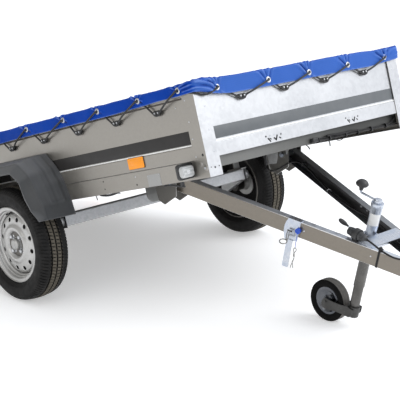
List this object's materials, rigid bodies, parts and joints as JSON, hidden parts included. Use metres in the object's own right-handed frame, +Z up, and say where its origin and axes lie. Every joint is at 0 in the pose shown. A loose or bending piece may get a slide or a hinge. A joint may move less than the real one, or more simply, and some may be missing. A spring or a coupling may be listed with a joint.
{
  "type": "utility trailer",
  "caption": "Two-wheeled tipping utility trailer with a covered box bed, a folding V drawbar, a tailgate and a jockey wheel, standing tipped on its wheels.",
  "frame": {"origin": "middle of the part's box, on the ground", "axes": "+X forward to the coupler, +Y to the trailer's left, +Z up"},
  "size_m": [3.2418, 1.66, 1.1299],
  "materials": {
    "galvanised": "hot-dip galvanised sheet, soft spangle",
    "tyre_rubber": "black rubber",
    "silver_paint": "satin silver paint",
    "bright_zinc": "bright zinc plate",
    "blue_cover": "coated woven cover cloth",
    "black_plastic": "matt black plastic",
    "blue_plastic": "blue moulded plastic",
    "black_cable": "black cable sheath",
    "plywood": "brown film-faced plywood",
    "white_lens": "clear white lamp lens",
    "amber_lens": "amber reflector",
    "red_lens": "red lamp lens"
  },
  "bodies": {
    "bed": {"axle_beam": "galvanised", "axle_brackets": "galvanised", "axle_end_plates": "black_plastic", "bed_cable": "black_cable", "bed_cable_gland": "black_plastic", "corner_posts": "galvanised", "cross_members": "galvanised", "floor_board": "plywood", "front_panel": "galvanised", "lamp_board": "black_plastic", "marker_lamp_holders": "black_plastic", "marker_lamp_lenses": "white_lens", "mudguard_left": "black_plastic", "mudguard_right": "black_plastic", "pivot_brackets": "galvanised", "pivot_pins": "bright_zinc", "rear_lamps": "red_lens", "rear_skirt_plate": "galvanised", "side_panel_left": "galvanised", "side_panel_right": "galvanised", "side_rails": "galvanised", "side_reflectors": "amber_lens", "suspension_arms": "galvanised", "tailgate_hinge_pins": "bright_zinc", "tarp_cover": "blue_cover"},
    "wheel_left": {"tyre_left": "tyre_rubber", "rim_left": "silver_paint", "hub_left": "bright_zinc"},
    "wheel_right": {"tyre_right": "tyre_rubber", "rim_right": "silver_paint", "hub_right": "bright_zinc"},
    "drawbar": {"drawbar_beam_left": "galvanised", "drawbar_beam_right": "galvanised", "jockey_crossplate": "bright_zinc", "jockey_clamp": "bright_zinc", "coupler_plate": "galvanised", "coupler_head": "bright_zinc", "coupler_lever": "black_plastic", "closing_latch": "bright_zinc", "latch_cap": "blue_plastic", "latch_strap": "bright_zinc", "latch_clip": "bright_zinc", "latch_lanyard": "blue_plastic", "clamp_handle": "bright_zinc", "clamp_grip": "black_plastic", "plug_holder": "black_plastic", "drawbar_cable_gland": "black_plastic", "drawbar_cable": "black_cable", "trailer_plug": "black_plastic", "cable_strap": "black_plastic"},
    "jockey_post": {"jockey_outer_tube": "bright_zinc", "jockey_crank": "bright_zinc", "crank_knob": "black_plastic"},
    "jockey_leg": {"jockey_leg": "bright_zinc"},
    "jockey_fork": {"jockey_fork": "bright_zinc"},
    "jockey_wheel": {"jockey_rim": "bright_zinc", "jockey_tyre": "tyre_rubber"},
    "tailgate": {"tailgate": "galvanised", "tailgate_hinge_leaves": "bright_zinc", "tarp_rear_flap": "blue_cover"}
  },
  "joints": [
    {"name": "wheel_left_spin", "type": "hinge", "parent": "bed", "child": "wheel_left", "pos_m": [-0.4431, 0.7375, 0.2735], "axis": [0, 1, 0], "continuous": true},
    {"name": "wheel_right_spin", "type": "hinge", "parent": "bed", "child": "wheel_right", "pos_m": [-0.4431, -0.7375, 0.2735], "axis": [0, 1, 0], "continuous": true},
    {"name": "drawbar_fold", "type": "hinge", "parent": "bed", "child": "drawbar", "pos_m": [0.25956, 0, 0.61259], "axis": [0, -1, 0], "range_deg": [-6, 29.28], "deforming": ["bed_cable"]},
    {"name": "jockey_post_slide", "type": "slide", "parent": "drawbar", "child": "jockey_post", "axis": [0.2436, 0, 0.9699], "range_m": [-0.08, 0.17]},
    {"name": "jockey_leg_extend", "type": "slide", "parent": "jockey_post", "child": "jockey_leg", "axis": [-0.2436, 0, -0.9699], "range_m": [0, 0.17]},
    {"name": "jockey_swivel", "type": "hinge", "parent": "jockey_leg", "child": "jockey_fork", "pos_m": [0.95745, 0, 0.06198], "axis": [0.2436, 0, 0.9699], "continuous": true},
    {"name": "jockey_wheel_spin", "type": "hinge", "parent": "jockey_fork", "child": "jockey_wheel", "pos_m": [0.82967, 0, 0.09511], "axis": [0, 1, 0], "continuous": true},
    {"name": "tailgate_hinge", "type": "hinge", "parent": "bed", "child": "tailgate", "pos_m": [-1.53635, 0, 0.20898], "axis": [0, -1, 0], "range_deg": [0, 90]}
  ]
}
